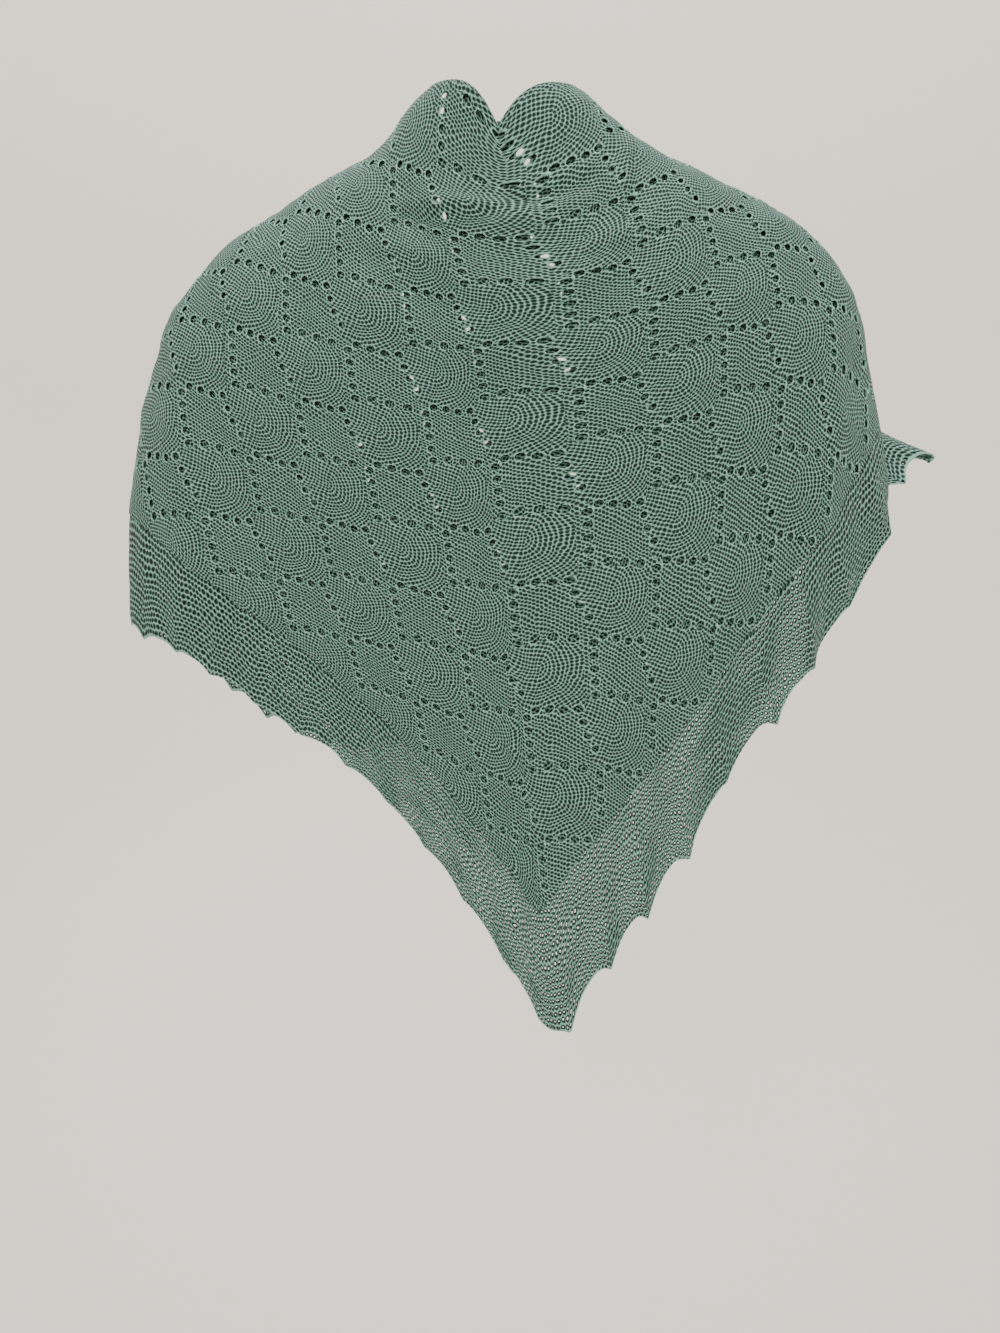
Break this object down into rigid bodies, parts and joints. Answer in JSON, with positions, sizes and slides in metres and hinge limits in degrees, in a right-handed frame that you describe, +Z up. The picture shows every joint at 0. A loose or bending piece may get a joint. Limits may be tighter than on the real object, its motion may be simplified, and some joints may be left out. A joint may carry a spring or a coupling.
{
  "type": "lace shawl",
  "caption": "Knitted triangular lace shawl with leaf repeats and a pointed mesh border, draped as worn over the shoulders",
  "frame": {"origin": "middle of the neck at the height of the nape, where the wearer's neck and shoulders hold the shawl up", "axes": "+Z up, -Y the way the wearer faces, +X the wearer's left"},
  "size_m": [0.6242, 0.25, 0.6718],
  "materials": {
    "outer_lace_yarn": "matt knitted wool, sage green",
    "inner_layer_yarn": "matt knitted wool, sage green in shade",
    "fold_edge_yarn": "matt knitted wool, sage green",
    "border_yarn": "matt open mesh knitting, sage green"
  },
  "bodies": {
    "root": {"outer_lace_back": "outer_lace_yarn", "outer_lace_left": "outer_lace_yarn", "outer_lace_right": "outer_lace_yarn", "inner_layer_back": "inner_layer_yarn", "inner_layer_left": "inner_layer_yarn", "inner_layer_right": "inner_layer_yarn", "fold_edge_back": "fold_edge_yarn", "fold_edge_left": "fold_edge_yarn", "fold_edge_right": "fold_edge_yarn", "border_left_back": "border_yarn", "border_left_front": "border_yarn", "border_right_back": "border_yarn", "border_right_front": "border_yarn"}
  },
  "joints": []
}
